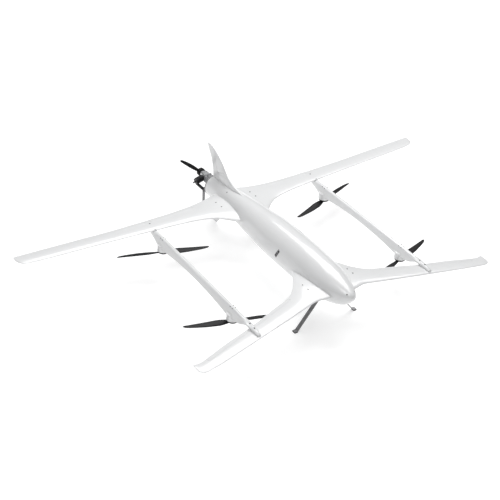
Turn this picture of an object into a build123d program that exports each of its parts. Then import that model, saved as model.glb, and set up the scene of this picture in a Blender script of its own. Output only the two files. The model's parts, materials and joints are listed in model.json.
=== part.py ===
from build123d import *
import os
from math import atan2, cos, degrees, pi, radians, sin, sqrt

os.makedirs("parts", exist_ok=True)

# Millimetres. +X is the aircraft's left wing, -Y is forwards, +Z is up.
# The origin is on the ground below the middle of the aircraft.

# ---- driving dimensions ----
HALF_SPAN = 1600
DECK = 310                  # height of the boom tops above the ground
WING_LEVEL = DECK + 1       # main wing chord plane at the booms
WING_TIP_RISE = 13
CANARD_LEVEL = DECK - 1
CANARD_DROP = 66            # how far the canard tips hang below the canard root
CANARD_ROOT_X = 160
CANARD_HALF_SPAN = 1108
SKIN = 2.5                  # fuselage shell thickness
FIT = 0.3                   # gap between separate mouldings

BOOM_X = 656
FRONT_MOTOR_Y = -556
REAR_MOTOR_Y = 302
POD_RADIUS = 40
POD_RIM_Z = DECK - 92
POD_TOP_Z = DECK - 45
BELL_RADIUS = 36
POD_ROOF = 6
LIFT_SHAFT_RADIUS = 4
LIFT_BOSS_THICK = 9
PROP_Z = DECK - 106         # upper face of the lift propeller hubs
LIFT_PROP_RADIUS = 310
BLADE_SKEW = 18.5           # parked angle of the lift blades from the span direction

VENT_Y = -247
VENT_Z = DECK + 22
VENT_LEAN = 24
VENT_WIDTH = 22
VENT_HEIGHT = 62
NOSE_SEAM_Y = -806
HATCH_END_Y = -76
HATCH_SILL_Z = DECK + 42
TAIL_Y = 745                # rear end of the fuselage
FIREWALL_THICK = 6
ENGINE_Z = DECK - 3
ENGINE_Y = 850              # crankcase centre
PUSHER_Y = 918              # pusher propeller plane
PUSHER_RADIUS = 219
PUSHER_ANGLE = 140.5
CYLINDER_TILT = 15
CASE_WIDTH = 54
CASE_LENGTH = 52
SNOUT_LENGTH = 26
STANDOFF_SPREAD = 24        # half spacing of the standoffs
SHAFT_RADIUS = 7
HUB_RADIUS = 30
PUSHER_BOSS_THICK = 12
CYLINDER_FOOT = 27          # distances along the cylinder from the crank centre
CYLINDER_TOP = 88
MUFFLER_X = -62
MUFFLER_Z = DECK - 56

LEG_Y = -638
LEG_WIDTH = 28
LEG_THICK = 5
LEG_TAB_X = 14              # inner end of the leg's bolted tab
LEG_BEND_X = 76
LEG_TOP_Z = DECK - 116
LEG_FOOT_X = 222
FOOT_LENGTH = 22
PAD_THICK = 4
STRUT_Y = 872
STRUT_WIDTH = 20
STRUT_THICK = 5
SCREW_HEAD = 5              # radius
SCREW_HEAD_DEPTH = 2
SCREW_PROUD = 0.4           # how far a screw head stands above the skin
SCREW_SHANK = 2             # radius
SCREW_LENGTH = 12
MOTOR_SCREW_LENGTH = 44
MOTOR_SCREW_X = 10.5        # half spacings of the motor screw pattern
MOTOR_SCREW_Y = 12

JOINER_RADIUS = 6.5
JOINER_Y = 440
JOINER_REACH = 400
CANARD_JOINER_RADIUS = 6
CANARD_JOINER_Y = -712
CANARD_JOINER_REACH = 215
PIN_RADIUS = 1.25
PIN_INNER = 16              # how far a hinge pin runs past the inner and outer ends
PIN_OUTER = 8
ACTUATOR_RADIUS = 3.4
ACTUATOR_LENGTH = 34
CAMBER = 0.015
RUNNING = 0.06              # radial clearance of turning pins and shafts
HINGE_GAP = 1.2
END_GAP = 1.6
SEAM_GAP = 0.8
STANDING = (Align.CENTER, Align.CENTER, Align.MIN)

# Fuselage stations: y, half width, top and bottom height above the deck level.
FUSELAGE = [
    (-898, 3, 34, 27),
    (-893, 18, 47, 11),
    (-875, 37, 60, -12),
    (-848, 57, 71, -42),
    (-800, 79, 86, -69),
    (-730, 102, 104, -92),
    (-640, 118, 122, -109),
    (-515, 124, 131, -122),
    (-390, 129, 136, -128),
    (-90, 131, 133, -124),
    (210, 107, 107, -113),
    (480, 80, 79, -107),
    (TAIL_Y, 67, 47, -104),
]

# Main wing stations: x, leading edge y, trailing edge y, thickness.
WING = [
    (60, 205, 600, 44),
    (95, 212, 596, 40),
    (130, 236, 586, 35),
    (165, 270, 575, 30),
    (205, 307, 566, 26),
    (265, 343, 555, 22),
    (360, 371, 544, 19.5),
    (500, 390, 539, 17.5),
    (850, 417, 538, 14.5),
    (1150, 434, 548, 13),
    (1440, 449, 559, 11.5),
    (1540, 460, 562, 10),
    (1580, 479, 563, 8),
    (1596, 506, 564, 5),
    (HALF_SPAN, 530, 564, 2.5),
]

# Canard stations: x, leading edge y, trailing edge y, thickness.
CANARD = [
    (60, -790, -395, 40),
    (100, -786, -405, 37),
    (130, -781, -430, 33),
    (165, -773, -480, 28),
    (200, -774, -535, 24),
    (240, -782, -585, 21),
    (300, -794, -639, 18),
    (440, -823, -682, 15.5),
    (670, -869, -750, 13),
    (850, -904, -791, 11.5),
    (1000, -931, -834, 10),
    (1065, -938, -848, 8),
    (1095, -926, -843, 5),
    (CANARD_HALF_SPAN, -898, -841, 2.5),
]

# Fin stations: height above the deck level, leading edge y, trailing edge y, thickness.
FIN = [
    (40, 250, 742, 30),
    (78, 310, 746, 26),
    (92, 362, 748, 24),
    (106, 462, 750, 21),
    (120, 526, 752, 18),
    (150, 571, 759, 16),
    (190, 611, 776, 13),
    (230, 659, 803, 9),
    (262, 716, 820, 6),
    (284, 794, 830, 3),
]

# Boom stations: y, top and bottom height above the deck level, half width at the foot.
BOOM = [
    (-856, -26, -32, 6),
    (-850, -16, -33, 11),
    (-825, -9, -34.2, 14),
    (-778, -5.4, -34.2, 16),
    (-758, -4.6, -26, 17),
    (-735, -3.6, -24, 19),
    (-716, -3, -28, 21),
    (-660, -1, -58, 28),
    (FRONT_MOTOR_Y, 0, -72, 33),
    (-440, 0, -60, 31),
    (-300, 0, -48, 29),
    (-120, 0, -42, 28),
    (60, 0, -48, 29),
    (180, 0, -60, 31),
    (REAR_MOTOR_Y, 0, -72, 33),
    (375, -1, -52, 25),
    (440, -2, -36, 19),
    (505, -3, -22, 12),
]

# Control surface hinge lines: the inner and outer end of each as (x, y).
FLAP = ((305, 510), (634, 502))
AILERON = ((680, 503), (1490, 526))
ELEVATOR = ((312, -672), (1010, -864))
RUDDER_FOOT = (679, DECK + 116)     # y, z
RUDDER_HEAD = (717, DECK + 204)
FIN_SEAM = ((560, DECK + 123), (748, DECK + 105))

# Lift propeller blade: radius, leading and trailing edge, thickness, pitch in degrees.
LIFT_BLADE = [
    (14, -10, 10, 8, 14),
    (45, -18, 16, 7, 20),
    (95, -26, 21, 5.5, 15),
    (150, -26, 18, 4.5, 11),
    (220, -21, 14, 3.2, 8),
    (275, -14, 11, 2.4, 7),
    (300, -7, 10, 1.8, 6),
    (LIFT_PROP_RADIUS, 1, 7, 1.2, 6),
]
PUSHER_BLADE = [
    (12, -11, 11, 11, 42),
    (40, -13, 13, 9, 40),
    (85, -16, 14, 6, 30),
    (140, -15, 12, 4, 22),
    (190, -11, 9, 2.8, 17),
    (212, -7, 7, 2, 15),
    (PUSHER_RADIUS, -3, 4, 1.3, 15),
]


def slopes(xs, ys):
    """Slopes of a monotone smooth curve through the points."""
    runs = [(y1 - y0) / (x1 - x0) for x0, x1, y0, y1 in zip(xs, xs[1:], ys, ys[1:])]
    inner = [2 * p * q / (p + q) if p * q > 0 else 0 for p, q in zip(runs, runs[1:])]
    return [runs[0]] + inner + [runs[-1]]


def curve(xs, ys, x):
    """Value at x of a monotone smooth curve through the points."""
    grades = slopes(xs, ys)
    k = max(i for i in range(len(xs) - 1) if i == 0 or xs[i] <= x)
    step = xs[k + 1] - xs[k]
    t = (x - xs[k]) / step
    rise = ys[k] * (1 + 2 * t) * (1 - t) ** 2 + ys[k + 1] * t * t * (3 - 2 * t)
    return rise + step * t * (1 - t) * (grades[k] * (1 - t) - grades[k + 1] * t)


def stations(table, places, rounded_at=None):
    """Rows of a station table worked out at other places; ends of a row are rounded like a root."""
    def warp(x):
        return x if rounded_at is None else sqrt(abs(x - rounded_at))

    rows = sorted(table, key=lambda row: warp(row[0]))
    marks = [warp(row[0]) for row in rows]
    columns = list(zip(*rows))[1:]
    return [(x, *(curve(marks, column, warp(x)) for column in columns)) for x in places]


def spaced(start, end, count, both=True):
    """Places that crowd together at the end, or at both ends."""
    if both:
        return [start + (end - start) * (1 - cos(pi * k / count)) / 2 for k in range(count + 1)]
    return [start + (end - start) * sin(pi / 2 * k / count) for k in range(count + 1)]


def ring(points):
    """Closed smooth outline through evenly spaced points, as a wire."""
    steps = [k / len(points) for k in range(len(points) + 1)]
    return Wire([Edge.make_spline([Vector(*p) for p in points], periodic=True, parameters=steps)])


def oval(y, half_width, top, bottom, inset=0):
    """Fuselage cross-section at one station, pulled in by inset."""
    half = half_width - inset
    high = DECK + top - inset
    low = DECK + bottom + inset
    mid = 0.45 * high + 0.55 * low
    points = []
    for step in range(16):
        turn = 2 * pi * step / 16
        reach = high - mid if sin(turn) > 0 else mid - low
        points.append((half * cos(turn), y, mid + reach * sin(turn)))
    return ring(points)


def fuselage_body(inset=0):
    """The whole fuselage as one solid, or its inside when inset is positive."""
    nose = FUSELAGE[0][0]
    rows = stations(FUSELAGE, spaced(TAIL_Y, nose, 22, both=False), rounded_at=nose)
    return Solid.make_loft([oval(*row, inset) for row in rows if row[1] > inset + 1])


def half_thickness(s):
    """NACA four-digit thickness form for a section of unit thickness."""
    return 5 * (0.2969 * sqrt(s) - 0.126 * s - 0.3516 * s**2 + 0.2843 * s**3 - 0.1015 * s**4)


def foil(place, lead, trail, thick, camber=CAMBER, blunt=0.5):
    """Aerofoil outline; place(along, up) maps the section's own axes to a point."""
    chord = trail - lead
    steps = [1, 0.85, 0.65, 0.45, 0.28, 0.14, 0.05, 0.012]
    upper = []
    lower = []
    for s in steps:
        mean = camber * chord * 4 * s * (1 - s)
        half = thick * half_thickness(s) + blunt * s
        upper.append(place(lead + chord * s, mean + half))
        lower.append(place(lead + chord * s, mean - half))
    points = upper + [place(lead, 0)] + lower[::-1]
    marks = [k / (len(points) - 1) for k in range(len(points))]
    skin = Edge.make_spline([Vector(*p) for p in points], parameters=marks)
    back = Edge.make_line(Vector(*points[-1]), Vector(*points[0]))
    return Wire([skin, back])


def wing_height(x):
    return WING_LEVEL + WING_TIP_RISE * max(0, x - BOOM_X) / (HALF_SPAN - BOOM_X)


def canard_height(x):
    return CANARD_LEVEL - CANARD_DROP * max(0, x - CANARD_ROOT_X) / (CANARD_HALF_SPAN - CANARD_ROOT_X)


def lifting_surface(table, height, count):
    """Loft one half of a wing or canard through its stations."""
    tip = table[-1][0]
    wires = []
    for x, lead, trail, thick in stations(table, spaced(table[0][0], tip, count), rounded_at=tip):
        level = height(x)
        wires.append(foil(lambda along, up: (x, along, level + up), lead, trail, thick))
    return Solid.make_loft(wires)


def fin_body():
    """Fin and its dorsal base as one solid."""
    foot, head = FIN[0][0], FIN[-1][0]
    wires = []
    for rise, lead, trail, thick in stations(FIN, spaced(foot, head, 16, both=False), rounded_at=head):
        level = DECK + rise
        wires.append(foil(lambda along, side: (side, along, level), lead, trail, thick, camber=0))
    return Solid.make_loft(wires)


def boom_outline(y, top, bottom, foot):
    """Boom cross-section: a narrow round crown that widens to the foot."""
    crown = min(18, foot)
    high, low = DECK + top, DECK + bottom
    tall = high - low
    half = [
        (0, high), (0.62 * crown, high - 0.22 * crown), (crown, high - 0.3 * tall),
        (0.5 * (crown + foot), high - 0.62 * tall), (0.96 * foot, high - 0.88 * tall),
        (0.55 * foot, low),
    ]
    left = [(x, y, z) for x, z in half]
    right = [(-x, y, z) for x, z in half[:0:-1]]
    return ring([*left, (0, y, low), *right])


def boom_body():
    """Boom about x = 0."""
    rows = stations(BOOM, spaced(BOOM[0][0], BOOM[-1][0], 34))
    return Solid.make_loft([boom_outline(*row) for row in rows])


def block(low, high):
    """Box between two corners."""
    size = [b - a for a, b in zip(low, high)]
    return Pos(*low) * Box(*size, align=(Align.MIN, Align.MIN, Align.MIN))


def rod(start, end, radius):
    """Round bar between two points."""
    a, b = Vector(*start), Vector(*end)
    return Plane(a, z_dir=b - a).location * Cylinder(radius, (b - a).length, align=STANDING)


def hinge_frame(start, end, up):
    """Plane with its x along the hinge line and its y towards the trailing edge."""
    a, b = Vector(*start), Vector(*end)
    along = (b - a).normalized()
    back = Vector(*up).cross(along)
    return Plane(a, x_dir=along, z_dir=along.cross(back)), (b - a).length


def surface_tool(start, end, up, radius, end_gap=0):
    """Everything behind a hinge line, with a round nose about the hinge."""
    frame, length = hinge_frame(start, end, up)
    size = length + 2 * end_gap
    slab = Pos(-end_gap, 0, 0) * Box(size, 90, 60, align=(Align.MIN, Align.MIN, Align.CENTER))
    nose = Pos(-end_gap, 0, 0) * Rot(0, 90, 0) * Cylinder(radius, size, align=STANDING)
    return frame.location * (slab + nose)


def stretch(start, end, before, after):
    """Move the two ends of a line outwards along it."""
    a, b = Vector(*start), Vector(*end)
    along = (b - a).normalized()
    return tuple(a - along * before), tuple(b + along * after)


def hinged(panel, start, end, up, radius):
    """Cut a control surface out of a panel.

    Gives the panel with its cove, pin holes and actuator bay, the surface with its pin, and the
    actuator that turns the pin.
    """
    surface = panel & surface_tool(start, end, up, radius)
    panel = panel - surface_tool(start, end, up, radius + HINGE_GAP, END_GAP)
    pin_start, pin_end = stretch(start, end, PIN_INNER, PIN_OUTER)
    panel = panel - rod(pin_start, stretch(start, end, 0, PIN_OUTER + 1)[1], PIN_RADIUS + RUNNING)
    surface = surface + rod(pin_start, pin_end, PIN_RADIUS)
    far = PIN_INNER - 14 + ACTUATOR_LENGTH
    bay = stretch(start, end, far, 0)[0], stretch(start, end, PIN_INNER - 14, 0)[0]
    panel = panel - rod(*bay, ACTUATOR_RADIUS)
    actuator = rod(*bay, ACTUATOR_RADIUS) - rod(pin_start, end, PIN_RADIUS + RUNNING)
    return panel, surface, actuator


def mirrored(shape):
    return shape.mirror(Plane.YZ)


def cut(shape, tools):
    for tool in tools:
        shape = shape - tool
    return shape


def group(shapes):
    """Several separate solids in one node."""
    solids = [solid for shape in shapes for solid in shape.solids()]
    return Compound(children=solids)


nodes = {}


def keep(name, shape):
    nodes[name] = shape


def keep_pair(name, shape):
    """Keep a piece for the +X side and its mirror image for the -X side."""
    keep(name + "_left", shape)
    keep(name + "_right", mirrored(shape))


def surface_top(table, height, x, y):
    """Height of the upper skin of a wing or canard."""
    x, lead, trail, thick = stations(table, [x], rounded_at=table[-1][0])[0]
    s = (y - lead) / (trail - lead)
    mean = CAMBER * (trail - lead) * 4 * s * (1 - s)
    return height(x) + mean + thick * half_thickness(s) + 0.5 * s


def screw(x, y, top, length=SCREW_LENGTH):
    """Countersunk screw standing in a skin, its head just proud."""
    seat = top + SCREW_PROUD - SCREW_HEAD_DEPTH
    head = Pos(x, y, seat) * Cone(SCREW_SHANK, SCREW_HEAD, SCREW_HEAD_DEPTH, align=STANDING)
    shank = rod((x, y, top - length), (x, y, top), SCREW_SHANK)
    return head + shank


def blade(table):
    """Propeller blade lying along +X about the origin."""
    wires = []
    for radius, lead, trail, thick, pitch in stations(table, spaced(table[0][0], table[-1][0], 16)):
        turn = radians(pitch)

        def place(along, up):
            return (radius, along * cos(turn) - up * sin(turn), along * sin(turn) + up * cos(turn))

        wires.append(foil(place, lead, trail, thick, camber=0.03, blunt=0.3))
    return Solid.make_loft(wires)


def propeller(table, boss_radius, boss_thick, bore, flat_radius):
    """Two-blade propeller about +Z, its boss centred on the origin and faced flat by the hub."""
    faces = Cylinder(flat_radius, 60) - Cylinder(flat_radius, boss_thick)
    one = blade(table) - faces
    both = one + Rot(0, 0, 180) * one
    return both + Cylinder(boss_radius, boss_thick) - Cylinder(bore, 3 * boss_thick)


# ---- fuselage ----

def fuselage_parts(outer, joiners):
    wall = outer - fuselage_body(SKIN)
    far = 400
    nose_zone = block((-far, -1000, 0), (far, NOSE_SEAM_Y, 800))
    hatch_zone = block((-far, NOSE_SEAM_Y + FIT, HATCH_SILL_Z), (far, HATCH_END_Y, 800))
    hatch_room = block((-far, NOSE_SEAM_Y, HATCH_SILL_Z - FIT), (far, HATCH_END_Y + FIT, 800))
    hull_zone = block((-far, NOSE_SEAM_Y + FIT, 0), (far, 1000, 800))
    hull = (wall & hull_zone) - hatch_room
    hatch = wall & hatch_zone
    vents = []
    for side in (1, -1):
        hull = hull - side_vent(side, 0)
        hatch = hatch - side_vent(side, 0)
        vents.append((side_vent(side, FIT) & wall) - vent_slots(side))
    keep("fuselage_hull", cut(hull, joiners))
    keep("fuselage_hatch", hatch)
    keep("nose_cap", wall & nose_zone)
    keep("side_vents", group(vents))


def vent_frame(side):
    """Centre of a side vent; it leans back towards its foot."""
    return Pos(side * 128, VENT_Y, VENT_Z) * Rot(VENT_LEAN, 0, 0)


def side_vent(side, gap):
    return vent_frame(side) * Box(60, VENT_WIDTH - 2 * gap, VENT_HEIGHT - 2 * gap)


def vent_slots(side):
    """Three louvre slots through a vent."""
    slots = Box(80, VENT_WIDTH - 7, 11)
    return vent_frame(side) * (slots + Pos(0, 0, 18) * slots + Pos(0, 0, -18) * slots)


def tail_parts(outer_fit):
    """Dorsal base, fin and rudder; gives the rudder's actuator."""
    whole = fin_body() - outer_fit
    (y0, z0), (y1, z1) = FIN_SEAM
    lean = degrees(atan2(z1 - z0, y1 - y0))
    half_space = Box(200, 1600, 400, align=STANDING)
    base = whole & (Pos(0, y0, z0) * Rot(lean + 180, 0, 0) * half_space)
    upper = whole & (Pos(0, y0, z0 + SEAM_GAP) * Rot(lean, 0, 0) * half_space)
    foot = (0, *RUDDER_FOOT)
    head = (0, *RUDDER_HEAD)
    fin, rudder, drive = hinged(upper, foot, head, (1, 0, 0), 6)
    base = base - rod(*stretch(foot, head, PIN_INNER - 14 + ACTUATOR_LENGTH, 0), ACTUATOR_RADIUS)
    keep("dorsal_base", base)
    keep("fin", fin)
    keep("rudder", rudder)
    return drive


def ventral_fin(outer_fit):
    """Swept fin below the tail, clear of the ground."""
    outline = Polyline((500, DECK - 60), (687, 3), (755, 3), (722, DECK - 60), close=True)
    plate = extrude(Plane.YZ * make_face(outline), 4, both=True)
    plate = chamfer(plate.edges().filter_by(lambda e: abs(e.center().X) > 3.9), 2.2)
    return plate - outer_fit


# ---- booms and lift motors ----

def elevator_relief(start, end):
    """Room under the boom for the elevator to swing up."""
    frame, length = hinge_frame(start, end, (0, 0, 1))
    middle = length * (BOOM_X - start[0]) / (end[0] - start[0])
    room = Box(110, 52, 37, align=(Align.CENTER, Align.MIN, Align.MIN))
    return frame.location * Pos(middle, -7, -25) * room


def motor_pod(y):
    """Round cup under a boom that holds one motor."""
    cup = rod((BOOM_X, y, POD_RIM_Z), (BOOM_X, y, POD_TOP_Z), POD_RADIUS)
    lip = rod((BOOM_X, y, POD_RIM_Z), (BOOM_X, y, POD_RIM_Z + 5), POD_RADIUS + 1.5)
    room = rod((BOOM_X, y, POD_RIM_Z - 1), (BOOM_X, y, POD_TOP_Z - POD_ROOF), POD_RADIUS - 2)
    return cup + lip - room


def motor_stator(y):
    """Base plate, core and winding teeth of a lift motor, hanging from its pod."""
    top = POD_TOP_Z - POD_ROOF
    base = rod((BOOM_X, y, top - 4), (BOOM_X, y, top), 22)
    core = rod((BOOM_X, y, PROP_Z + 8), (BOOM_X, y, top), 14)
    for k in range(12):
        tooth = Rot(0, 0, 30 * k) * Pos(21, 0, 0) * Box(18, 7, 24)
        core = core + Pos(BOOM_X, y, PROP_Z + 20) * tooth
    return base + core - rod((BOOM_X, y, 0), (BOOM_X, y, top - 2), LIFT_SHAFT_RADIUS + RUNNING)


def rotor_bell(y):
    """Turning can of a lift motor with its shaft."""
    can = rod((BOOM_X, y, PROP_Z), (BOOM_X, y, PROP_Z + 40), BELL_RADIUS)
    can = can - rod((BOOM_X, y, PROP_Z + 5), (BOOM_X, y, PROP_Z + 41), BELL_RADIUS - 3)
    for k in range(8):
        vent = Rot(0, 0, 45 * k) * Pos(22, 0, 0) * Cylinder(4, 12)
        can = can - Pos(BOOM_X, y, PROP_Z) * vent
    shaft = rod((BOOM_X, y, PROP_Z - 14), (BOOM_X, y, POD_TOP_Z - POD_ROOF - 3), LIFT_SHAFT_RADIUS)
    return can + shaft


def lift_propeller(y, skew, clockwise):
    """Two-blade lift propeller below its motor, with its clamp plate and bolts."""
    turning = propeller(LIFT_BLADE, 20, LIFT_BOSS_THICK, LIFT_SHAFT_RADIUS, BELL_RADIUS + 1)
    if clockwise:
        turning = turning.mirror(Plane.XZ)
    plate = Pos(0, 0, -6.5) * (Cylinder(17, 4) - Cylinder(LIFT_SHAFT_RADIUS, 12))
    for k in range(4):
        plate = plate + Rot(0, 0, 45 + 90 * k) * Pos(11, 0, -9.5) * Cylinder(2.5, 3)
    return Pos(BOOM_X, y, PROP_Z - LIFT_BOSS_THICK / 2) * Rot(0, 0, skew) * (turning + plate)


# ---- engine and pusher propeller ----

def firewall():
    """Tail plate that closes the fuselage and carries the engine."""
    rim = oval(TAIL_Y, 67, 47, -104, inset=-1.5)
    return extrude(Face(rim), FIREWALL_THICK, dir=(0, 1, 0))


def standoffs():
    """Four round bars that carry the crankcase off the firewall."""
    front = TAIL_Y + FIREWALL_THICK
    rear = ENGINE_Y - 33
    return group([rod((x, front, ENGINE_Z + z), (x, rear, ENGINE_Z + z), 4)
                  for x in (-STANDOFF_SPREAD, STANDOFF_SPREAD)
                  for z in (-STANDOFF_SPREAD, STANDOFF_SPREAD)])


def cylinder_line(near, far):
    """Two points on the engine cylinder's axis, at distances from the crank centre."""
    lean = radians(CYLINDER_TILT)
    return [(-d * cos(lean), ENGINE_Y, ENGINE_Z - d * sin(lean)) for d in (near, far)]


def crankcase():
    body = Pos(0, ENGINE_Y, ENGINE_Z) * Box(CASE_WIDTH, CASE_LENGTH, CASE_WIDTH)
    body = fillet(body.edges().filter_by(Axis.Y), 12)
    back = Pos(0, ENGINE_Y - 29.5, ENGINE_Z) * Box(62, 7, 62)
    back = fillet(back.edges().filter_by(Axis.Y), 9)
    snout = Rot(-90, 0, 0) * Cone(24, 17, SNOUT_LENGTH, align=STANDING)
    snout = Pos(0, ENGINE_Y + CASE_LENGTH / 2, ENGINE_Z) * snout
    shaft_hole = rod((0, ENGINE_Y - 20, ENGINE_Z), (0, ENGINE_Y + 60, ENGINE_Z), SHAFT_RADIUS + RUNNING)
    return body + back + snout - shaft_hole - rod(*cylinder_line(CYLINDER_FOOT, 60), 30)


def finned_cylinder():
    barrel = rod(*cylinder_line(CYLINDER_FOOT, 80), 16)
    for k in range(9):
        barrel = barrel + rod(*cylinder_line(30 + 5.6 * k, 32.4 + 5.6 * k), 24)
    head = rod(*cylinder_line(76, CYLINDER_TOP), 22)
    return barrel + head


def spark_plug():
    shell = rod(*cylinder_line(CYLINDER_TOP, 93), 7)
    return shell + rod(*cylinder_line(93, 100), 4) + rod(*cylinder_line(98, 106), 5.5)


def carburettor():
    low = ENGINE_Z - 14
    body = Pos(0, ENGINE_Y - 46, low) * Box(24, 26, 26)
    stack = rod((0, ENGINE_Y - 70, low), (0, ENGINE_Y - 59, low), 10)
    lever = Pos(15, ENGINE_Y - 46, low + 4) * Box(6, 8, 12)
    return body + stack + lever


def muffler():
    x, z = MUFFLER_X, MUFFLER_Z
    can = rod((x, 785, z), (x, 868, z), 11)
    outlet = rod((x, 776, z), (x, 785, z), 4)
    neck = rod((x, ENGINE_Y, z), (x, ENGINE_Y, z + 22), 7)
    return can + outlet + neck - rod(*cylinder_line(CYLINDER_FOOT, 90), 24)


def crankshaft():
    """Shaft with its drive hub."""
    shaft = rod((0, ENGINE_Y - 18, ENGINE_Z), (0, PUSHER_Y + 18, ENGINE_Z), SHAFT_RADIUS)
    face = PUSHER_Y - PUSHER_BOSS_THICK / 2
    hub = rod((0, face - 8, ENGINE_Z), (0, face, ENGINE_Z), HUB_RADIUS)
    return shaft + hub


def pusher_propeller():
    turning = propeller(PUSHER_BLADE, HUB_RADIUS, PUSHER_BOSS_THICK, SHAFT_RADIUS, HUB_RADIUS + 1)
    return Pos(0, PUSHER_Y, ENGINE_Z) * Rot(0, -PUSHER_ANGLE, 0) * Rot(90, 0, 0) * turning


def propeller_washer():
    near = PUSHER_Y + PUSHER_BOSS_THICK / 2
    far = near + 4
    plate = rod((0, near, ENGINE_Z), (0, far, ENGINE_Z), 18)
    for k in range(6):
        turn = radians(60 * k)
        place = (12.5 * cos(turn), far, ENGINE_Z + 12.5 * sin(turn))
        plate = plate + rod(place, (place[0], far + 3, place[2]), 2.5)
    return plate - rod((0, 0, ENGINE_Z), (0, 1000, ENGINE_Z), SHAFT_RADIUS)


def power_parts():
    keep("firewall", firewall())
    keep("engine_standoffs", standoffs())
    keep("crankcase", crankcase())
    keep("engine_cylinder", finned_cylinder())
    keep("spark_plug", spark_plug())
    keep("carburettor", carburettor())
    keep("muffler", muffler())
    keep("crankshaft", crankshaft())
    keep("pusher_propeller", pusher_propeller())
    keep("propeller_washer", propeller_washer())


# ---- landing gear ----

def strip(plane, points, thick, width):
    """Flat bar bent along a line of points in a plane."""
    return extrude(plane * trace(Polyline(*points), thick), width / 2, both=True)


def gear_leg():
    level = PAD_THICK + LEG_THICK / 2
    points = [(LEG_TAB_X, LEG_TOP_Z), (LEG_BEND_X, LEG_TOP_Z),
              (LEG_FOOT_X, level), (LEG_FOOT_X + FOOT_LENGTH, level)]
    return Pos(0, LEG_Y, 0) * strip(Plane.XZ, points, LEG_THICK, LEG_WIDTH)


def gear_saddle(outer_fit):
    low = LEG_TOP_Z + LEG_THICK / 2
    body = block((-84, LEG_Y - 20, low), (84, LEG_Y + 20, DECK - 60))
    return body - outer_fit


def gear_bolts():
    top = LEG_TOP_Z + LEG_THICK / 2 + 5
    low = LEG_TOP_Z - LEG_THICK / 2 - 2.5
    bolts = []
    for x in (-62, -30, 30, 62):
        head = rod((x, LEG_Y, low), (x, LEG_Y, low + 2.5), 5)
        bolts.append(head + rod((x, LEG_Y, low), (x, LEG_Y, top), 2.5))
    return bolts


def foot_pads():
    pad = Box(FOOT_LENGTH + 4, LEG_WIDTH + 4, PAD_THICK, align=(Align.MIN, Align.CENTER, Align.MIN))
    pad = fillet(pad.edges().filter_by(Axis.Z), 5)
    front = Pos(LEG_FOOT_X - 2, LEG_Y, 0) * pad
    rear = Pos(0, STRUT_Y - 3, 0) * Rot(0, 0, 90) * pad
    return [front, mirrored(front), rear]


def tail_strut():
    level = PAD_THICK + STRUT_THICK / 2
    front = TAIL_Y + FIREWALL_THICK + STRUT_THICK / 2
    points = [(front, DECK - 60), (front, DECK - 96), (STRUT_Y, DECK - 112),
              (STRUT_Y, level), (STRUT_Y + FOOT_LENGTH - 2, level)]
    bar = strip(Plane.YZ, points, STRUT_THICK, STRUT_WIDTH)
    corner = Polyline((820, DECK - 106), (STRUT_Y, DECK - 112), (STRUT_Y, DECK - 150), close=True)
    return bar + extrude(Plane.YZ * make_face(corner), 2, both=True)


def gear_parts(outer_fit):
    bolts = gear_bolts()
    keep_pair("gear_leg", cut(gear_leg(), bolts[2:]))
    keep("gear_saddle", cut(gear_saddle(outer_fit), bolts))
    keep("gear_bolts", group(bolts))
    keep("foot_pads", group(foot_pads()))
    keep("tail_strut", tail_strut())


# ---- equipment inside ----

def equipment():
    tank = Pos(0, 330, DECK - 45) * Box(90, 150, 70)
    keep("fuel_tank", fillet(tank.edges(), 16))
    tray = block((-84, -560, DECK - 78), (84, -60, DECK - 75))
    keep("equipment_tray", tray)
    pack = Box(70, 170, 52)
    keep("battery_packs", group([Pos(x, -420, DECK - 49) * pack for x in (-40, 40)]))


# ---- assembly ----

def hinge_ends(line, table, height):
    """Hinge line through the middle of the section's thickness."""
    ends = []
    for x, y in line:
        lead, trail = stations(table, [x], rounded_at=table[-1][0])[0][1:3]
        s = (y - lead) / (trail - lead)
        ends.append((x, y, height(x) + CAMBER * (trail - lead) * 4 * s * (1 - s)))
    return ends


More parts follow.
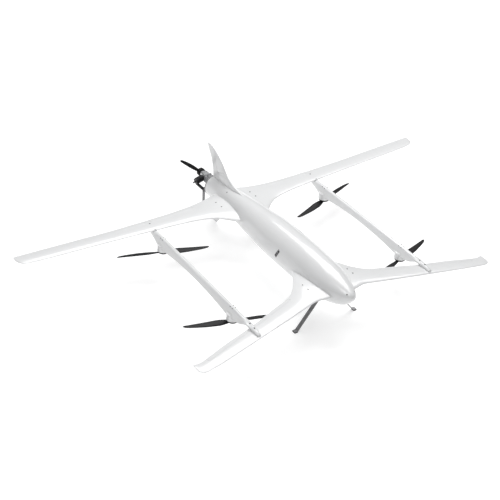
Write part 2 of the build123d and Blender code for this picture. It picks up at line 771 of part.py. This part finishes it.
def build():
    outer = fuselage_body()
    outer_fit = fuselage_body(-FIT)
    joiner_ends = [(x, JOINER_Y, WING_LEVEL + 2) for x in (-JOINER_REACH, JOINER_REACH)]
    canard_joiner_ends = [(x, CANARD_JOINER_Y, CANARD_LEVEL)
                          for x in (-CANARD_JOINER_REACH, CANARD_JOINER_REACH)]
    joiner = rod(*joiner_ends, JOINER_RADIUS)
    canard_joiner = rod(*canard_joiner_ends, CANARD_JOINER_RADIUS)
    fuselage_parts(outer, [joiner, canard_joiner])
    keep("wing_joiner_tube", joiner - rod(*joiner_ends, JOINER_RADIUS - 1))
    keep("canard_joiner_tube", canard_joiner - rod(*canard_joiner_ends, CANARD_JOINER_RADIUS - 1))

    # Screws through the skins: wing and canard roots, and the boom joints.
    wing_screws = [screw(x, y, surface_top(WING, wing_height, x, y))
                   for x in (139, BOOM_X) for y in (412, 484)]
    canard_screws = [screw(172, y, surface_top(CANARD, canard_height, 172, y)) for y in (-661, -603)]
    nose_screws = [screw(BOOM_X, y, DECK + rise, 16) for y, rise in ((-745, -3.2), (-795, -5.4))]
    motor_screws = [screw(BOOM_X + dx, y + dy, DECK - 4, MOTOR_SCREW_LENGTH)
                    for y in (FRONT_MOTOR_Y, REAR_MOTOR_Y)
                    for dx in (-MOTOR_SCREW_X, MOTOR_SCREW_X) for dy in (-MOTOR_SCREW_Y, MOTOR_SCREW_Y)]

    wing = lifting_surface(WING, wing_height, 26)
    canard = lifting_surface(CANARD, canard_height, 24)
    boom = Pos(BOOM_X, 0, 0) * boom_body() - wing - canard
    boom = max(boom.solids(), key=lambda solid: solid.volume)
    elevator_ends = hinge_ends(ELEVATOR, CANARD, canard_height)
    boom = boom - elevator_relief(*elevator_ends)
    for y in (FRONT_MOTOR_Y, REAR_MOTOR_Y):
        boom = boom - rod((BOOM_X, y, 0), (BOOM_X, y, POD_TOP_Z), POD_RADIUS + 0.2)
    keep_pair("boom", cut(boom, wing_screws[2:] + nose_screws + motor_screws))

    wing = cut(wing - outer_fit - joiner, wing_screws)
    wing, flap, flap_drive = hinged(wing, *hinge_ends(FLAP, WING, wing_height), (0, 0, 1), 5)
    wing, aileron, aileron_drive = hinged(wing, *hinge_ends(AILERON, WING, wing_height), (0, 0, 1), 5)
    keep_pair("wing", wing)
    keep_pair("flap", flap)
    keep_pair("aileron", aileron)

    canard = cut(canard - outer_fit - canard_joiner, canard_screws + nose_screws)
    canard, elevator, elevator_drive = hinged(canard, *elevator_ends, (0, 0, 1), 4.4)
    keep_pair("canard", canard)
    keep_pair("elevator", elevator)

    rudder_drive = tail_parts(outer_fit)
    keep("ventral_fin", ventral_fin(outer_fit))
    drives = [flap_drive, aileron_drive, elevator_drive]
    keep("servo_actuators", group(drives + [mirrored(drive) for drive in drives] + [rudder_drive]))
    screws = wing_screws + canard_screws + nose_screws
    keep("skin_screws", group(screws + [mirrored(one) for one in screws]))
    keep("motor_screws", group(motor_screws + [mirrored(one) for one in motor_screws]))

    for place, y in (("front", FRONT_MOTOR_Y), ("rear", REAR_MOTOR_Y)):
        keep_pair("motor_pod_" + place, cut(motor_pod(y), motor_screws))
        keep_pair("motor_stator_" + place, motor_stator(y))
        keep_pair("rotor_bell_" + place, rotor_bell(y))
        keep_pair("lift_propeller_" + place, lift_propeller(y, BLADE_SKEW, place == "rear"))

    power_parts()
    gear_parts(outer_fit)
    equipment()


build()
for name, shape in nodes.items():
    export_step(shape, "parts/" + name + ".step")
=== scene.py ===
import bmesh
import bpy
import json
import math
from mathutils import Matrix, Vector
from mathutils.bvhtree import BVHTree


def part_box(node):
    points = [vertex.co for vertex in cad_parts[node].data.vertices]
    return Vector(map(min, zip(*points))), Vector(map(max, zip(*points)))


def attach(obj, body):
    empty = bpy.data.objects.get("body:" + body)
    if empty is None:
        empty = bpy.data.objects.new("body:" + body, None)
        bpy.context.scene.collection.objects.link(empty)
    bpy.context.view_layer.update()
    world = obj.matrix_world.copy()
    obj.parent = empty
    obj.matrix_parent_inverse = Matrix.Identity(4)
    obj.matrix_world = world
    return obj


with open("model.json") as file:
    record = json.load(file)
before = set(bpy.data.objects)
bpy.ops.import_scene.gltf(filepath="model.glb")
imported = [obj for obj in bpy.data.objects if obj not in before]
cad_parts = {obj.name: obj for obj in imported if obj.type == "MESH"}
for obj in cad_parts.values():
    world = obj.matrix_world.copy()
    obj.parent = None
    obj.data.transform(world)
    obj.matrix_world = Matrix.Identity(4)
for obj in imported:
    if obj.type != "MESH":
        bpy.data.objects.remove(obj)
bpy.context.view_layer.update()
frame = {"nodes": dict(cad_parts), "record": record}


# ---- materials ----

NOISE_LOW, NOISE_HIGH = 0.3, 0.7    # the part of the noise's range that is spread over a surface
GRAIN_DEPTH = 0.0003                # metres


def new_material(name):
    mat = bpy.data.materials.new(name)
    mat.use_nodes = True
    nodes = mat.node_tree.nodes
    return mat, nodes, mat.node_tree.links, nodes["Principled BSDF"]


def noise(nodes, links, scale):
    place = nodes.new("ShaderNodeTexCoord")
    texture = nodes.new("ShaderNodeTexNoise")
    texture.inputs["Scale"].default_value = scale
    texture.inputs["Detail"].default_value = 3.0
    texture.inputs["Roughness"].default_value = 0.5
    links.new(place.outputs["Object"], texture.inputs["Vector"])
    return texture.outputs["Fac"]


def spread(nodes, links, value, low, high):
    span = nodes.new("ShaderNodeMapRange")
    span.inputs["From Min"].default_value = NOISE_LOW
    span.inputs["From Max"].default_value = NOISE_HIGH
    span.inputs["To Min"].default_value = low
    span.inputs["To Max"].default_value = high
    links.new(value, span.inputs["Value"])
    return span.outputs["Result"]


def bump(nodes, links, shader, value, strength):
    lift = nodes.new("ShaderNodeBump")
    lift.inputs["Strength"].default_value = strength
    lift.inputs["Distance"].default_value = GRAIN_DEPTH
    links.new(value, lift.inputs["Height"])
    links.new(lift.outputs["Normal"], shader.inputs["Normal"])


def tinted(nodes, links, shader, value, dark, light):
    ramp = nodes.new("ShaderNodeValToRGB")
    ramp.color_ramp.elements[0].position = NOISE_LOW
    ramp.color_ramp.elements[1].position = NOISE_HIGH
    ramp.color_ramp.elements[0].color = (*dark, 1)
    ramp.color_ramp.elements[1].color = (*light, 1)
    links.new(value, ramp.inputs["Fac"])
    links.new(ramp.outputs["Color"], shader.inputs["Base Color"])


def surface(name, dark, light, rough, scale=6.0, metallic=0.0, coat=0.0, specular=0.5,
            grain=0.0, grain_scale=400.0):
    """Material whose colour, roughness and grain vary gently over the surface."""
    mat, nodes, links, shader = new_material(name)
    cloud = noise(nodes, links, scale)
    tinted(nodes, links, shader, cloud, dark, light)
    links.new(spread(nodes, links, cloud, rough[0], rough[1]), shader.inputs["Roughness"])
    shader.inputs["Metallic"].default_value = metallic
    shader.inputs["Coat Weight"].default_value = coat
    shader.inputs["Coat Roughness"].default_value = 0.08
    shader.inputs["Specular IOR Level"].default_value = specular
    if grain:
        bump(nodes, links, shader, noise(nodes, links, grain_scale), grain)
    return mat


WHITE_PAINT = (0.745, 0.75, 0.755), (0.755, 0.76, 0.765)

# The look of each material slot: darkest and lightest colour, then roughness.
looks = {
    "white_gloss": surface("white_gloss", *WHITE_PAINT, (0.285, 0.315), coat=0.6,
                           grain=0.006, grain_scale=40),
    "carbon": surface("carbon", (0.004, 0.004, 0.005), (0.010, 0.010, 0.011), (0.42, 0.55),
                      scale=30, specular=0.22, grain=0.1),
    "black_metal": surface("black_metal", (0.006, 0.006, 0.007), (0.014, 0.014, 0.015), (0.35, 0.5),
                           scale=40, specular=0.3),
    "motor_core": surface("motor_core", (0.18, 0.07, 0.03), (0.32, 0.14, 0.05), (0.35, 0.5),
                          scale=200, metallic=0.5),
    "dark_metal": surface("dark_metal", (0.03, 0.03, 0.032), (0.07, 0.07, 0.075), (0.4, 0.6),
                          scale=50, metallic=0.7, grain=0.2),
    "bare_aluminium": surface("bare_aluminium", (0.52, 0.53, 0.54), (0.68, 0.68, 0.69), (0.28, 0.42),
                              scale=60, metallic=1.0, grain=0.15),
    "steel": surface("steel", (0.008, 0.008, 0.009), (0.022, 0.022, 0.023), (0.45, 0.6),
                     scale=150, specular=0.2),
    "leg_metal": surface("leg_metal", (0.20, 0.20, 0.205), (0.27, 0.27, 0.275), (0.35, 0.5),
                         scale=40, metallic=0.35, grain=0.1),
    "rubber_pad": surface("rubber_pad", (0.02, 0.02, 0.02), (0.04, 0.04, 0.04), (0.7, 0.85),
                          scale=80, grain=0.4),
    "dark_plastic": surface("dark_plastic", (0.22, 0.22, 0.225), (0.30, 0.30, 0.305), (0.5, 0.65),
                            scale=60, grain=0.25),
    "black_plastic": surface("black_plastic", (0.02, 0.02, 0.022), (0.045, 0.045, 0.048), (0.45, 0.6),
                             scale=60, grain=0.2),
    "tube": surface("tube", (0.02, 0.02, 0.02), (0.04, 0.04, 0.04), (0.3, 0.4), scale=60, coat=0.3),
    "tank": surface("tank", (0.62, 0.6, 0.5), (0.72, 0.7, 0.6), (0.35, 0.45), scale=20),
    "battery": surface("battery", (0.03, 0.04, 0.14), (0.05, 0.06, 0.2), (0.3, 0.5), scale=30),
}

slot_of = {part["node"]: part["material_slot"] for part in frame["record"]["subparts"]}


def cad_object(node):
    return frame["nodes"][node]


for node, slot_name in slot_of.items():
    thing = cad_object(node)
    for place in thing.material_slots:
        place.material = looks[slot_name]


# ---- small screws on the hull and nose ----

# Head profile from the centre of the recess outwards: radius and height in metres.
SCREW_PROFILE = [(0.0, -0.0008), (0.0014, -0.0008), (0.0016, 0.0004), (0.0036, 0.0005),
                 (0.0044, 0.0002), (0.0047, -0.0008)]
# Each screw's node, its place from the front to the back of that node's box, and its turn in
# degrees from the side to the top.
HULL_SCREWS = {
    "nose_screw": ("nose_cap", 0.36, 56),
    "tail_screw": ("fuselage_hull", 0.84, 54),
}
TURNS = 24


def lathe(name, profile):
    """Mesh turned about its own Z axis."""
    verts = []
    for radius, height in profile:
        for step in range(TURNS):
            turn = 2 * math.pi * step / TURNS
            verts.append((radius * math.cos(turn), radius * math.sin(turn), height))
    faces = []
    for row in range(len(profile) - 1):
        for step in range(TURNS):
            after = (step + 1) % TURNS
            low, high = row * TURNS, (row + 1) * TURNS
            faces.append((low + step, high + step, high + after, low + after))
    mesh = bpy.data.meshes.new(name)
    mesh.from_pydata(verts, [], faces)
    joined = bmesh.new()
    joined.from_mesh(mesh)
    bmesh.ops.remove_doubles(joined, verts=joined.verts, dist=1e-6)
    joined.to_mesh(mesh)
    joined.free()
    mesh.shade_smooth()
    return mesh


def skin_point(node, along, turn):
    """Point of a node's outer skin on its left side, and the direction that the skin faces."""
    mesh = cad_object(node).data
    tree = BVHTree.FromPolygons([v.co for v in mesh.vertices], [f.vertices for f in mesh.polygons])
    low, high = (Vector(corner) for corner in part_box(node))
    centre = Vector((0, low.y + along * (high.y - low.y), (low.z + high.z) / 2))
    angle = math.radians(turn)
    out = Vector((math.cos(angle), 0, math.sin(angle)))
    start = centre + out * (high.x - low.x + high.z - low.z)
    place, normal = tree.ray_cast(start, -out)[:2]
    return place, (normal if normal.dot(out) > 0 else -normal)


def hull_screws():
    mesh = lathe("hull_screw", SCREW_PROFILE)
    mesh.materials.append(looks["steel"])
    for name, (node, along, turn) in HULL_SCREWS.items():
        place, normal = skin_point(node, along, turn)
        for side, sign in (("left", 1), ("right", -1)):
            piece = bpy.data.objects.new(name + "_" + side, mesh.copy())
            piece.location = (sign * place.x, place.y, place.z)
            out = Vector((sign * normal.x, normal.y, normal.z))
            piece.rotation_euler = out.to_track_quat("Z", "Y").to_euler()
            bpy.context.collection.objects.link(piece)
            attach(piece, "airframe")


hull_screws()


# ---- floor, light and camera ----

FLOOR_REACH = 30.0
# The photograph's camera: where it stands, and its directions to the right and backwards.
CAMERA_PLACE = (-3.7973, -5.3118, 4.6263)
CAMERA_RIGHT = (0.83869, -0.54346, 0.03545)
CAMERA_BACK = (-0.46556, -0.68165, 0.56446)


def studio_floor():
    mesh = bpy.data.meshes.new("studio_floor")
    corners = [(x * FLOOR_REACH, y * FLOOR_REACH, 0) for x, y in ((-1, -1), (1, -1), (1, 1), (-1, 1))]
    mesh.from_pydata(corners, [], [(0, 1, 2, 3)])
    floor = bpy.data.objects.new("studio_floor", mesh)
    bpy.context.collection.objects.link(floor)
    mat, nodes, links, shader = new_material("studio_floor")
    tinted(nodes, links, shader, noise(nodes, links, 0.4), (0.60, 0.60, 0.60), (0.62, 0.62, 0.62))
    shader.inputs["Roughness"].default_value = 0.9
    shader.inputs["Emission Color"].default_value = (1, 1, 1, 1)
    shader.inputs["Emission Strength"].default_value = 0.56
    mesh.materials.append(mat)


def area_light(name, place, target, size, power):
    data = bpy.data.lights.new(name, "AREA")
    data.shape = "RECTANGLE"
    data.size, data.size_y = size
    data.energy = power
    lamp = bpy.data.objects.new(name, data)
    lamp.location = place
    aim = Vector(target) - Vector(place)
    lamp.rotation_euler = aim.to_track_quat("-Z", "Y").to_euler()
    bpy.context.collection.objects.link(lamp)


def studio_light():
    world = bpy.data.worlds.new("studio")
    world.use_nodes = True
    world.node_tree.nodes["Background"].inputs["Color"].default_value = (1, 1, 1, 1)
    world.node_tree.nodes["Background"].inputs["Strength"].default_value = 0.19
    bpy.context.scene.world = world
    area_light("overhead", (2.2, 2.4, 7.6), (0, 0, 0.2), (7.0, 6.0), 650)
    area_light("side_soft", (-3.8, -2.2, 6.6), (0, 0, 0.3), (4.0, 3.0), 165)
    bpy.context.scene.view_settings.view_transform = "Standard"


def photo_camera():
    data = bpy.data.cameras.new("photo_camera")
    data.sensor_width = 36
    data.lens = 84.75
    data.clip_end = 100
    camera = bpy.data.objects.new("photo_camera", data)
    right = Vector(CAMERA_RIGHT).normalized()
    back = Vector(CAMERA_BACK).normalized()
    up = back.cross(right).normalized()
    right = up.cross(back)
    turn = Matrix((right, up, back)).transposed().to_4x4()
    camera.matrix_world = Matrix.Translation(CAMERA_PLACE) @ turn
    bpy.context.collection.objects.link(camera)
    bpy.context.scene.camera = camera


studio_floor()
studio_light()
photo_camera()
